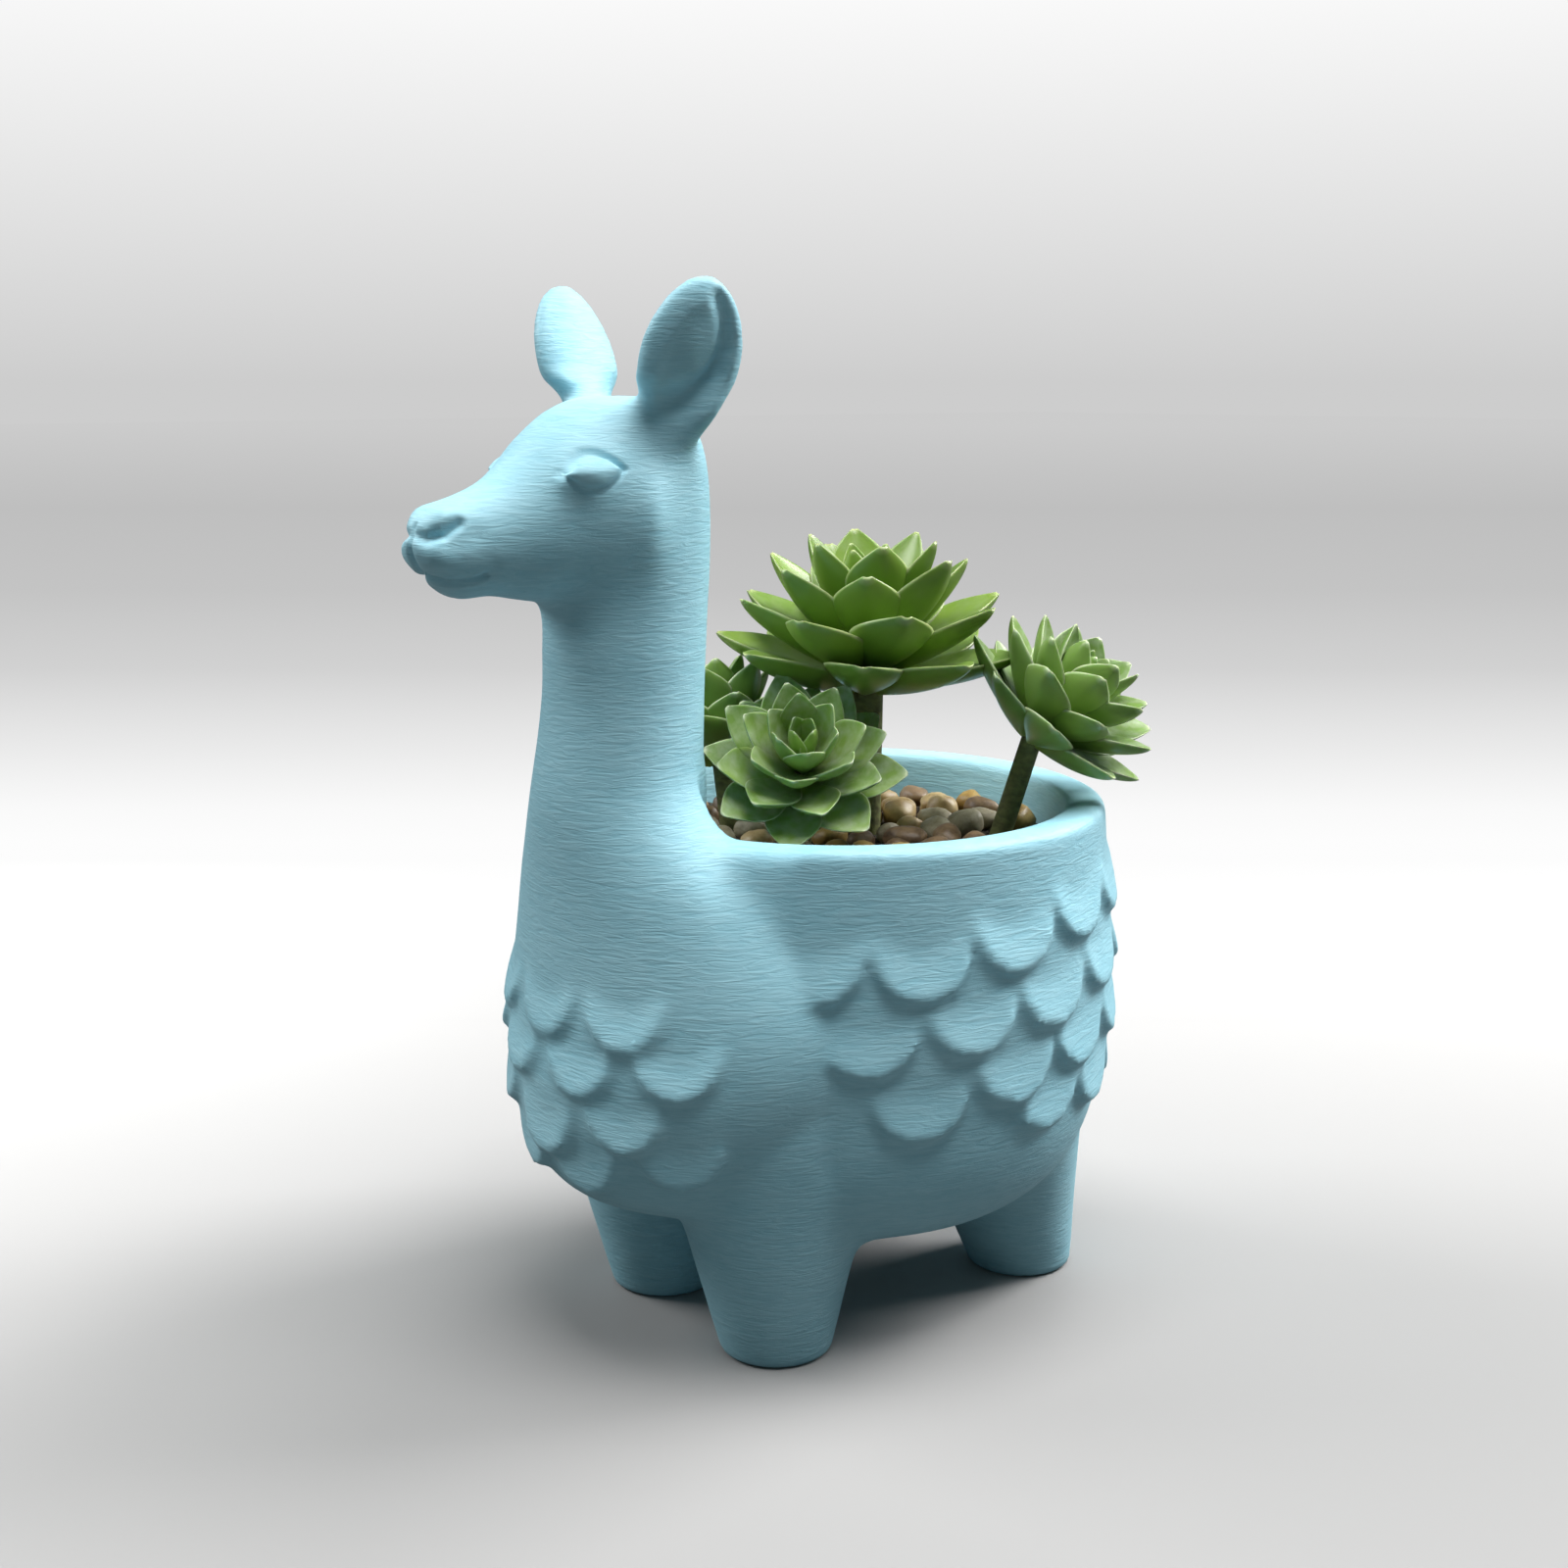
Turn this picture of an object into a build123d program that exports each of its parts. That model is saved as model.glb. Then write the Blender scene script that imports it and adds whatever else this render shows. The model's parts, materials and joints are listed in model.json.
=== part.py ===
from build123d import *
import math
import os

# Llama planter: a one-piece printed pot with its soil, pebble dressing and four succulents.
# Millimetres, +Z up. The llama faces -Y, its left side is +X, and it stands on z = 0.
# Values that end in SHARE or SHARES are parts of the size named beside them; angles are degrees.

# Pot
RIM_RADIUS = 47.4
RIM_HEIGHT = 92.0
RIM_WALL = 7.3
RIM_ROUND = 1.8
FLANK_BULGE = 1.6
BELLY_HEIGHT = 20.0
FLOOR_HEIGHT = 30.0
CAVITY_FLOOR_RADIUS = 33.0
CAVITY_CORNER = 6.0
DRAIN_RADIUS = 4.0
CUT_OVERRUN = 2.0
MOUTH_CLEARANCE = 12.0

# Legs
HOOF_RADIUS = 9.6
HOOF_ROUND = 1.5
LEG_OFFSET = 17.1
FRONT_LEG_OFFSET = 27.5
REAR_LEG_OFFSET = 31.0
REAR_LEG_TOP_RADIUS = 17.6
REAR_LEG_HEIGHT = 36.0
REAR_LEG_LEAN = 9.0
FRONT_LEG_TOP_RADIUS = 20.0

# Fleece: round scales lying on the flanks and the chest like shingles
FLANK_SCALE_RADIUS = 8.3
CHEST_SCALE_RADIUS = 7.2
SCALE_THICKNESS = 4.5
SCALE_TILT = 11.0
FLANK_SCALE_PITCH = 20.6
CHEST_SCALE_PITCH = 31.0
CHEST_AXIS_OFFSET = 29.5

# Neck, head and ears
CROWN_HEIGHT = 163.8
NECK_OFFSET = 46.0
NECK_RADIUS = 13.5
NECK_ROOT_RADIUS = 13.6
HEAD_REACH = 37.5
HEAD_HEIGHT = 33.5
HEAD_HALF_WIDTH = 14.0
EYE_LENGTH = 9.6
EYE_HEIGHT = 5.6
EAR_HEIGHT = 27.0
EAR_WIDTH = 17.0
EAR_THICKNESS = 7.5
EAR_OFFSET = 11.5
EAR_SPLAY = 21.0
EAR_TURN = 52.0

# Soil and pebbles
SOIL_CLEARANCE = 0.35
SOIL_DEPTH_BELOW_RIM = 9.0
SOIL_BEVEL = 9.0
PEBBLE_RADIUS = 3.4
PEBBLE_SPACING = 4.15
PEBBLE_GAP = 0.3

# Succulents: leaf length of each rosette and the core that carries its leaves
TALL_LEAF_LENGTH = 22.0
SMALL_LEAF_LENGTH = 15.5
CORE_RADIUS_SHARE = 0.17
CORE_TIP_SHARE = 0.09
CORE_HEIGHT_SHARE = 0.60
STEM_RADIUS_SHARE = 0.13
LEAF_SEAT = 0.5

# Where the parts stand along the animal: ahead of the pot's axis is towards -Y
FLANK_RADIUS = RIM_RADIUS + FLANK_BULGE
FLEECE_LIFT = FLANK_SCALE_RADIUS * math.sin(math.radians(SCALE_TILT))
POT_AXIS_Y = (NECK_OFFSET + HEAD_REACH - FLANK_RADIUS - FLEECE_LIFT) / 2
CAVITY_RADIUS = RIM_RADIUS - RIM_WALL
SOIL_TOP = RIM_HEIGHT - SOIL_DEPTH_BELOW_RIM

# Flank outline of the pot: share of the flank radius, share of the way from belly to rim
FLANK_SHARES = ((0.77, 0.04), (0.905, 0.15), (0.97, 0.31), (1.0, 0.55), (0.99, 0.76))
BELLY_FLAT_SHARE = 0.50

# Fleece rows: half pitches between the middle line and the first scale, then the lower edge of
# each scale as a share of the rim height; flank rows run from the tail to the shoulder
FLANK_ROW_SHARES = (
    (0, (0.446, 0.446, 0.446, 0.446, 0.446)),
    (1, (0.560, 0.560, 0.560, 0.549, 0.520, 0.473)),
    (0, (0.680, 0.680, 0.680, 0.674, 0.645, 0.625, 0.598)),
    (1, (0.799, 0.799, 0.799, 0.790, 0.761, 0.730, 0.728)),
)
CHEST_ROW_SHARES = (
    (1, (0.361, 0.395)),
    (0, (0.420, 0.462)),
    (1, (0.549, 0.572)),
    (0, (0.640, 0.645)),
)

# Front leg: share of the rim height, of the way from the leg's axis to the neck's axis, and of
# the leg's top radius
FRONT_LEG_SHARES = (
    (0.11, 0.02, 0.61),
    (0.22, 0.04, 0.735),
    (0.33, 0.06, 0.84),
    (0.44, 0.08, 0.93),
    (0.55, 0.12, 0.97),
)

# Chest, neck and cranium: share of the crown height, of the neck's reach ahead, and of the neck's
# radius to the sides and fore and aft
NECK_SHARES = (
    (0.122, 0.600, 0.85, 0.80),
    (0.171, 0.674, 1.70, 1.67),
    (0.220, 0.663, 2.24, 2.22),
    (0.269, 0.652, 2.56, 2.41),
    (0.317, 0.641, 2.76, 2.47),
    (0.366, 0.630, 2.80, 2.47),
    (0.415, 0.630, 2.68, 2.43),
    (0.464, 0.696, 2.39, 2.18),
    (0.513, 0.798, 2.00, 1.83),
    (0.562, 0.935, 1.47, 1.38),
    (0.610, 1.017, 1.10, 1.08),
    (0.659, 1.010, 1.01, 1.01),
    (0.708, 0.996, 0.985, 0.985),
    (0.763, 0.989, 1.00, 1.00),
    (0.830, 0.978, 1.02, 1.02),
    (0.890, 0.976, 1.02, 1.02),
    (0.940, 0.983, 0.975, 0.975),
    (0.973, 0.995, 0.83, 0.83),
    (0.991, 1.005, 0.54, 0.54),
)

# Face: share of the head's reach, of its height (top and underside), and of its half width
FACE_SHARES = (
    (0.00, 0.93, 0.06, 0.91),
    (0.264, 0.925, -0.024, 1.00),
    (0.437, 0.806, 0.00, 0.843),
    (0.597, 0.627, 0.03, 0.664),
    (0.784, 0.528, 0.075, 0.543),
    (0.917, 0.469, 0.128, 0.45),
    (0.976, 0.403, 0.20, 0.286),
)
NOSE_TIP_SHARE = 0.307
EYE_REACH_SHARE = 0.355
EYE_HEIGHT_SHARE = 0.606
EYE_SIDE_SHARE = 0.82

# Ear: share of its height, width and thickness
EAR_SHARES = (
    (0.0, 0.50, 0.95),
    (0.25, 0.82, 1.00),
    (0.52, 1.00, 0.90),
    (0.78, 0.80, 0.70),
    (0.94, 0.42, 0.45),
)
EAR_BASE_DROP_SHARE = 0.32
EAR_BEHIND_SHARE = 0.07
SCOOP_SIZE_SHARE = 0.72
SCOOP_LIFT_SHARE = 0.17
SCOOP_OUT_SHARE = 0.42

# Leaf outline: share of its length, width and thickness
LEAF_SHARES = ((0.0, 0.22, 0.50), (0.22, 0.52, 0.85), (0.58, 1.00, 1.00), (0.84, 0.72, 0.70))
LEAF_WIDTH_SHARE = 0.50
LEAF_THICKNESS_SHARE = 0.15
LEAF_CROWN_SHARE = 0.25
LEAF_RISE_SHARE = 0.10

# Whorls of a rosette: name, leaf count, elevation, leaf length share, place up the core, turn
WHORL_SHARES = (
    ("outer_leaves", 8, 14.0, 1.00, 0.06, 0.0),
    ("lower_leaves", 8, 28.0, 0.97, 0.28, 22.5),
    ("middle_leaves", 7, 44.0, 0.88, 0.50, 8.0),
    ("inner_leaves", 6, 60.0, 0.76, 0.72, 30.0),
    ("heart_leaves", 4, 76.0, 0.50, 0.93, 10.0),
)

# Succulents: name, leaf length, stem foot and heart as shares of the cavity radius (to the
# left, ahead) and of the rim height, lean and the compass direction of the lean from +X
PLANTS = (
    ("tall_succulent", TALL_LEAF_LENGTH, (0.01, -0.14), (0.015, -0.145, 1.215), 3.0, -38.0),
    ("front_succulent", SMALL_LEAF_LENGTH, (0.12, 0.32), (0.18, 0.36, 1.05), 44.0, -36.0),
    ("right_succulent", SMALL_LEAF_LENGTH, (0.50, -0.50), (0.612, -0.602, 1.125), 40.0, 38.0),
    ("left_succulent", SMALL_LEAF_LENGTH, (-0.44, 0.28), (-0.48, 0.30, 1.05), 14.0, 170.0),
)

# Pebble sizes: share of the pebble radius across and upwards, by turns
PEBBLE_SHARES = ((1.0, 0.72), (0.82, 0.66), (0.92, 0.80), (0.74, 0.60), (0.97, 0.64))
PEBBLE_NODES = ("tan_pebbles", "ochre_pebbles", "brown_pebbles", "grey_pebbles")
HALF_TURN = 180.0
GOLDEN_ANGLE = HALF_TURN * (3.0 - math.sqrt(5.0))


def place(side, ahead, height):
    """Point at a side distance, a distance ahead of the pot's axis and a height."""
    return Vector(side, POT_AXIS_Y - ahead, height)


def disc(centre, radius):
    """Level disc, a section of a loft."""
    return Plane(origin=centre) * Circle(radius)


def spheroid(across, upwards):
    """Ball stretched or flattened along Z."""
    return scale(Sphere(across), by=(1, 1, upwards / across))


def pot():
    """Outside of the pot as a filled barrel with a rounded rim."""
    rise = RIM_HEIGHT - BELLY_HEIGHT
    flank = [(FLANK_RADIUS * out, BELLY_HEIGHT + rise * up) for out, up in FLANK_SHARES]
    belly = (FLANK_RADIUS * BELLY_FLAT_SHARE, BELLY_HEIGHT)
    shoulder = (RIM_RADIUS, RIM_HEIGHT - RIM_ROUND)
    lip = (RIM_RADIUS - RIM_ROUND, RIM_HEIGHT)
    outline = Line((0, BELLY_HEIGHT), belly)
    outline += Spline([belly] + flank + [shoulder])
    outline += RadiusArc(shoulder, lip, -RIM_ROUND)
    outline += Polyline(lip, (0, RIM_HEIGHT), (0, BELLY_HEIGHT))
    barrel = revolve(Plane.XZ * make_face(outline), Axis.Z)
    return Pos(0, POT_AXIS_Y, 0) * barrel


def cavity():
    """Planting space: a drafted well with a rounded floor edge, a soft lip and the drain hole."""
    corner_top = (CAVITY_FLOOR_RADIUS, FLOOR_HEIGHT + CAVITY_CORNER)
    corner_foot = (CAVITY_FLOOR_RADIUS - CAVITY_CORNER, FLOOR_HEIGHT)
    lip_foot = (CAVITY_RADIUS, RIM_HEIGHT - RIM_ROUND)
    lip_top = (CAVITY_RADIUS + RIM_ROUND, RIM_HEIGHT)
    outline = Line((0, FLOOR_HEIGHT), corner_foot)
    outline += RadiusArc(corner_foot, corner_top, -CAVITY_CORNER)
    outline += Line(corner_top, lip_foot)
    outline += RadiusArc(lip_foot, lip_top, RIM_ROUND)
    outline += Polyline(
        lip_top,
        (CAVITY_RADIUS + RIM_ROUND, RIM_HEIGHT + MOUTH_CLEARANCE),
        (0, RIM_HEIGHT + MOUTH_CLEARANCE),
        (0, FLOOR_HEIGHT),
    )
    well = revolve(Plane.XZ * make_face(outline), Axis.Z)
    hole_height = FLOOR_HEIGHT - BELLY_HEIGHT + 2 * CUT_OVERRUN
    hole = Pos(0, 0, BELLY_HEIGHT - CUT_OVERRUN) * extrude(Circle(DRAIN_RADIUS), hole_height)
    return Pos(0, POT_AXIS_Y, 0) * (well + hole)


def neck_column(radius):
    """Upright column where the neck stands inside the mouth of the pot."""
    foot = FLOOR_HEIGHT - CUT_OVERRUN
    column = extrude(Circle(radius), RIM_HEIGHT + MOUTH_CLEARANCE + CUT_OVERRUN - foot)
    return Pos(place(0, NECK_OFFSET, foot)) * column


def notch_radius():
    """Radius of the soil's notch round the neck, wide enough to lift past neck and cranium."""
    reach = [NECK_ROOT_RADIUS]
    for up, ahead, side, depth in NECK_SHARES:
        if up * CROWN_HEIGHT > RIM_HEIGHT + MOUTH_CLEARANCE:
            reach.append(max(side, depth) * NECK_RADIUS + abs(1 - ahead) * NECK_OFFSET)
    return max(reach) + SOIL_CLEARANCE


def rear_leg():
    """Left rear leg, upright behind and sloping under the belly."""
    foot = disc(place(LEG_OFFSET, -REAR_LEG_OFFSET, 0), HOOF_RADIUS)
    top = disc(place(LEG_OFFSET, REAR_LEG_LEAN - REAR_LEG_OFFSET, REAR_LEG_HEIGHT), REAR_LEG_TOP_RADIUS)
    leg = loft([foot, top])
    return fillet(leg.edges().sort_by(Axis.Z)[0], HOOF_ROUND)


def front_leg():
    """Left front leg, widening up into the shoulder."""
    sections = []
    for up, ahead, radius in FRONT_LEG_SHARES:
        reach = FRONT_LEG_OFFSET + ahead * (NECK_OFFSET - FRONT_LEG_OFFSET)
        sections.append(disc(place(LEG_OFFSET, reach, up * RIM_HEIGHT), radius * FRONT_LEG_TOP_RADIUS))
    shin = loft([disc(place(LEG_OFFSET, FRONT_LEG_OFFSET, 0), HOOF_RADIUS), sections[0]])
    return fillet(shin.edges().sort_by(Axis.Z)[0], HOOF_ROUND) + loft(sections)


def neck():
    """Chest, shoulders, neck and cranium in one rise of level ovals."""
    sections = []
    for up, ahead, side, depth in NECK_SHARES:
        plane = Plane(place(0, ahead * NECK_OFFSET, up * CROWN_HEIGHT))
        sections.append(plane * Ellipse(side * NECK_RADIUS, depth * NECK_RADIUS))
    return loft(sections + [Vertex(place(0, NECK_OFFSET, CROWN_HEIGHT))])


def face():
    """Forehead, bridge and muzzle from the cranium to the nose tip."""
    throat = CROWN_HEIGHT - HEAD_HEIGHT
    sections = []
    for reach, top, under, width in FACE_SHARES:
        middle = throat + HEAD_HEIGHT * (top + under) / 2
        half_height = HEAD_HEIGHT * (top - under) / 2
        plane = Plane(place(0, NECK_OFFSET + reach * HEAD_REACH, middle), x_dir=(1, 0, 0), z_dir=(0, -1, 0))
        sections.append(plane * Ellipse(width * HEAD_HALF_WIDTH, half_height))
    tip = Vertex(place(0, NECK_OFFSET + HEAD_REACH, throat + NOSE_TIP_SHARE * HEAD_HEIGHT))
    return loft(sections + [tip])


def eye():
    """Left eye, an almond bump on the side of the head."""
    throat = CROWN_HEIGHT - HEAD_HEIGHT
    almond = spheroid(EYE_HEIGHT / 2, EYE_LENGTH / 2)
    centre = place(
        EYE_SIDE_SHARE * HEAD_HALF_WIDTH,
        NECK_OFFSET + EYE_REACH_SHARE * HEAD_REACH,
        throat + EYE_HEIGHT_SHARE * HEAD_HEIGHT,
    )
    return Pos(centre) * Rot(90, 0, 0) * almond


def ear_shape(size_share):
    """Pointed oval ear standing on its base; also the scoop at a smaller size."""
    sections = []
    for up, width, thickness in EAR_SHARES:
        oval = Ellipse(width * EAR_WIDTH / 2 * size_share, thickness * EAR_THICKNESS / 2 * size_share)
        sections.append(Pos(0, 0, up * EAR_HEIGHT * size_share) * oval)
    return loft(sections + [Vertex(0, 0, EAR_HEIGHT * size_share)])


def ear():
    """Left ear, splayed outwards with its hollow turned out and ahead."""
    scoop_spot = Pos(0, -SCOOP_OUT_SHARE * EAR_THICKNESS, SCOOP_LIFT_SHARE * EAR_HEIGHT)
    scoop = scoop_spot * ear_shape(SCOOP_SIZE_SHARE)
    base = place(
        EAR_OFFSET,
        NECK_OFFSET - EAR_BEHIND_SHARE * HEAD_REACH,
        CROWN_HEIGHT - EAR_BASE_DROP_SHARE * EAR_HEIGHT,
    )
    return Pos(base) * Rot(0, EAR_SPLAY, 0) * Rot(0, 0, EAR_TURN) * (ear_shape(1) - scoop)


def fleece_scale(hide, axis_ahead, turn, foot, radius):
    """Round scale on the hide, at a turn from the tail about an upright axis, lower edge lifted."""
    centre = place(0, axis_ahead, foot + radius)
    outward = Vector(0, 1, 0).rotate(Axis.Z, -turn)
    hits = hide.find_intersection_points(Axis(centre, outward))
    spot, normal = max(hits, key=lambda hit: (hit[0] - centre).dot(outward))
    level = Vector(0, 0, 1).cross(normal)
    seat = Plane(spot, x_dir=level, z_dir=normal.rotate(Axis((0, 0, 0), level), -SCALE_TILT))
    return seat * extrude(Circle(radius), -SCALE_THICKNESS)


def fleece_row(hide, axis_ahead, middle, pitch, radius, half_steps, feet):
    """One row of scales to both sides of the middle line."""
    row = []
    for index, foot in enumerate(feet):
        turn = middle + (index + half_steps / 2) * pitch
        pad = fleece_scale(hide, axis_ahead, turn, foot * RIM_HEIGHT, radius)
        row.append(pad)
        if turn != middle:
            row.append(mirror(pad, Plane.YZ))
    return row


def add_fleece(hide):
    """The hide with its scales, laid row over row from the lowest."""
    body = hide
    for half_steps, feet in FLANK_ROW_SHARES:
        body += fleece_row(hide, 0, 0, FLANK_SCALE_PITCH, FLANK_SCALE_RADIUS, half_steps, feet)
    for half_steps, feet in CHEST_ROW_SHARES:
        body += fleece_row(
            hide, CHEST_AXIS_OFFSET, HALF_TURN, CHEST_SCALE_PITCH, CHEST_SCALE_RADIUS, half_steps, feet
        )
    return body


def planter_body():
    """The whole print: barrel, legs, neck, fleece, head and ears, with the planting space cut out."""
    left_legs = [rear_leg(), front_leg()]
    body = pot() + left_legs + [mirror(leg, Plane.YZ) for leg in left_legs] + neck()
    body = add_fleece(body)
    body -= cavity() - neck_column(NECK_ROOT_RADIUS)
    body += face()
    left_features = [ear(), eye()]
    body += left_features + [mirror(feature, Plane.YZ) for feature in left_features]
    return body


def soil():
    """Root ball: the planting space less a clearance, up to just under the rim."""
    draft = (CAVITY_RADIUS - CAVITY_FLOOR_RADIUS) / (RIM_HEIGHT - RIM_ROUND - FLOOR_HEIGHT - CAVITY_CORNER)
    bevel_top = FLOOR_HEIGHT + SOIL_BEVEL
    bevel_radius = CAVITY_FLOOR_RADIUS + draft * (SOIL_BEVEL - CAVITY_CORNER) - SOIL_CLEARANCE
    top_radius = soil_radius()
    outline = Polyline(
        (0, FLOOR_HEIGHT),
        (bevel_radius - SOIL_BEVEL, FLOOR_HEIGHT),
        (bevel_radius, bevel_top),
        (top_radius, SOIL_TOP),
        (0, SOIL_TOP),
        (0, FLOOR_HEIGHT),
    )
    ball = revolve(Plane.XZ * make_face(outline), Axis.Z)
    return Pos(0, POT_AXIS_Y, 0) * ball - neck_column(notch_radius())


def soil_radius():
    """Radius of the soil's top."""
    draft = (CAVITY_RADIUS - CAVITY_FLOOR_RADIUS) / (RIM_HEIGHT - RIM_ROUND - FLOOR_HEIGHT - CAVITY_CORNER)
    return CAVITY_FLOOR_RADIUS + draft * (SOIL_TOP - FLOOR_HEIGHT - CAVITY_CORNER) - SOIL_CLEARANCE


def leaf(length):
    """Thick pointed leaf along +X, flat above and keeled below, curving up to its tip."""
    width = LEAF_WIDTH_SHARE * length
    thickness = LEAF_THICKNESS_SHARE * length
    rise = LEAF_RISE_SHARE * length
    sections = []
    for along, wide, thick in LEAF_SHARES:
        half = wide * width / 2
        crown = thick * thickness * LEAF_CROWN_SHARE
        keel = crown - thick * thickness
        plane = Plane((along * length, 0, rise * along**2), x_dir=(0, 1, 0), z_dir=(1, 0, 0))
        upper = ThreePointArc((-half, 0), (0, crown), (half, 0))
        lower = ThreePointArc((half, 0), (0, keel), (-half, 0))
        sections.append(plane * make_face(upper + lower))
    return loft(sections + [Vertex(length, 0, rise)])


def plant_frame(heart, lean, compass):
    """Location at a rosette's base, leaning by an angle towards a compass direction."""
    return Pos(plant_heart(heart)) * Rot(0, 0, compass) * Rot(0, lean, 0) * Rot(0, 0, -compass)


def plant_heart(heart):
    """Point at the foot of a rosette's core."""
    side, ahead, up = heart
    return place(side * CAVITY_RADIUS, ahead * CAVITY_RADIUS, up * RIM_HEIGHT)


def stem(length, foot, heart, lean, compass):
    """Stem from the soil, bent into the rosette's lean, with the core that carries the leaves."""
    radius = STEM_RADIUS_SHARE * length
    ground = place(foot[0] * CAVITY_RADIUS, foot[1] * CAVITY_RADIUS, SOIL_TOP)
    frame = plant_frame(heart, lean, compass)
    stalk = loft([disc(ground, radius), frame * Circle(radius)])
    core_height = CORE_HEIGHT_SHARE * length
    core = loft([
        Circle(CORE_RADIUS_SHARE * length),
        Pos(0, 0, core_height) * Circle(CORE_TIP_SHARE * length),
    ])
    return stalk + frame * core


def whorl(length, count, elevation, length_share, up, turn, frame):
    """One ring of leaves, each set a little into the core."""
    radius = (CORE_RADIUS_SHARE + up * (CORE_TIP_SHARE - CORE_RADIUS_SHARE)) * length - LEAF_SEAT
    height = up * CORE_HEIGHT_SHARE * length
    blade = Pos(radius, 0, height) * Rot(0, -elevation, 0) * leaf(length_share * length)
    return Compound(children=[frame * Rot(0, 0, turn + i * 360 / count) * blade for i in range(count)])


def pebble(spot, across, upwards):
    """Smooth round pebble resting on the soil."""
    return Pos(spot.X, spot.Y, SOIL_TOP + upwards) * spheroid(across, upwards)


def pebble_spots():
    """Spots over the soil on a sunflower spiral, clear of the wall, the neck and the stems."""
    blocked = [(place(0, NECK_OFFSET, SOIL_TOP), notch_radius())]
    for name, length, foot, heart, lean, compass in PLANTS:
        ground = place(foot[0] * CAVITY_RADIUS, foot[1] * CAVITY_RADIUS, SOIL_TOP)
        blocked.append((ground, STEM_RADIUS_SHARE * length))
    spots = []
    for i in range(int((soil_radius() / PEBBLE_SPACING) ** 2)):
        out = PEBBLE_SPACING * math.sqrt(i)
        turn = math.radians(i * GOLDEN_ANGLE)
        spot = place(out * math.cos(turn), out * math.sin(turn), SOIL_TOP)
        if out + PEBBLE_RADIUS + PEBBLE_GAP > soil_radius():
            continue
        if all((spot - centre).length > radius + PEBBLE_RADIUS + PEBBLE_GAP for centre, radius in blocked):
            spots.append(spot)
    return spots


os.makedirs("parts", exist_ok=True)
export_step(planter_body(), "parts/planter_body.step")
export_step(soil(), "parts/soil.step")

for name, length, foot, heart, lean, compass in PLANTS:
    export_step(stem(length, foot, heart, lean, compass), f"parts/{name}_stem.step")
    frame = plant_frame(heart, lean, compass)
    for ring, count, elevation, length_share, up, turn in WHORL_SHARES:
        leaves = whorl(length, count, elevation, length_share, up, turn, frame)
        export_step(leaves, f"parts/{name}_{ring}.step")

pebbles = {node: [] for node in PEBBLE_NODES}
for index, spot in enumerate(pebble_spots()):
    across, upwards = PEBBLE_SHARES[index % len(PEBBLE_SHARES)]
    stone = pebble(spot, across * PEBBLE_RADIUS, upwards * PEBBLE_RADIUS)
    pebbles[PEBBLE_NODES[index % len(PEBBLE_NODES)]].append(stone)
for node, stones in pebbles.items():
    export_step(Compound(children=stones), f"parts/{node}.step")
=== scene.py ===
import json
import logging
import math
import random
from dataclasses import dataclass, field
from enum import Enum

import bmesh
import bpy
import numpy as np
from mathutils import Matrix, Vector, noise

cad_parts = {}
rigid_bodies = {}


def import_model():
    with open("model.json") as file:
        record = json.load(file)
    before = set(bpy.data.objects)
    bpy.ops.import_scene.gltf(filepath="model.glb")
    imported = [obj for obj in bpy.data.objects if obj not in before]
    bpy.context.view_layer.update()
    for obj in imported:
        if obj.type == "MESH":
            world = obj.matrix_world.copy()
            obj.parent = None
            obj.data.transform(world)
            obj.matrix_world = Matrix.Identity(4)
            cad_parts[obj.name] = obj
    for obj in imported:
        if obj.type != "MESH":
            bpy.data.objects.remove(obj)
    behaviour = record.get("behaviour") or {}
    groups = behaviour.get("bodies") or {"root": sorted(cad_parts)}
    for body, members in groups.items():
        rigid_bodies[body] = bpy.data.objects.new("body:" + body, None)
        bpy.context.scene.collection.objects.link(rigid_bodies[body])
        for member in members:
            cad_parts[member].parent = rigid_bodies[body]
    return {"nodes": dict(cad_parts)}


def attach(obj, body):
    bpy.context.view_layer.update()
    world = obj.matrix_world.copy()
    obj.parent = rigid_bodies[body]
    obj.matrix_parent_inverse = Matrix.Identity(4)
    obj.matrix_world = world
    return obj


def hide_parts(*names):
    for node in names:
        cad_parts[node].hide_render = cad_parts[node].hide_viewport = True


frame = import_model()

LOG = logging.getLogger("llama_planter")
MM = 0.001
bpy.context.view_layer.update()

# Places shared with the CAD part, in metres: the pot's axis, its mouth, the soil's top and the neck
POT_AXIS_Y = 16.458 * MM
CAVITY_RADIUS = 40.1 * MM
RIM_HEIGHT = 92.0 * MM
SOIL_TOP = 83.0 * MM
NECK_OFFSET = 46.0 * MM
NOTCH_RADIUS = 15.22 * MM


class Body(str, Enum):
    """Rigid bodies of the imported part."""

    PLANTER = "planter"
    PLANTING = "planting"


def place(side: float, ahead: float, height: float) -> Vector:
    """Point in the shared frame.

    Args:
        side: Distance to the llama's left.
        ahead: Distance ahead of the pot's axis, towards the head.
        height: Height above the ground.

    Returns:
        The point as a vector.
    """
    return Vector((side, POT_AXIS_Y - ahead, height))


def ease(value: np.ndarray, start: float, end: float) -> np.ndarray:
    """Eased step from 0 to 1 between two values.

    Args:
        value: Numbers to ease.
        start: Value that gives 0.
        end: Value that gives 1; it may lie below the start.

    Returns:
        The eased numbers.
    """
    share = np.clip((value - start) / (end - start), 0.0, 1.0)
    return share * share * (3.0 - 2.0 * share)


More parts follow.
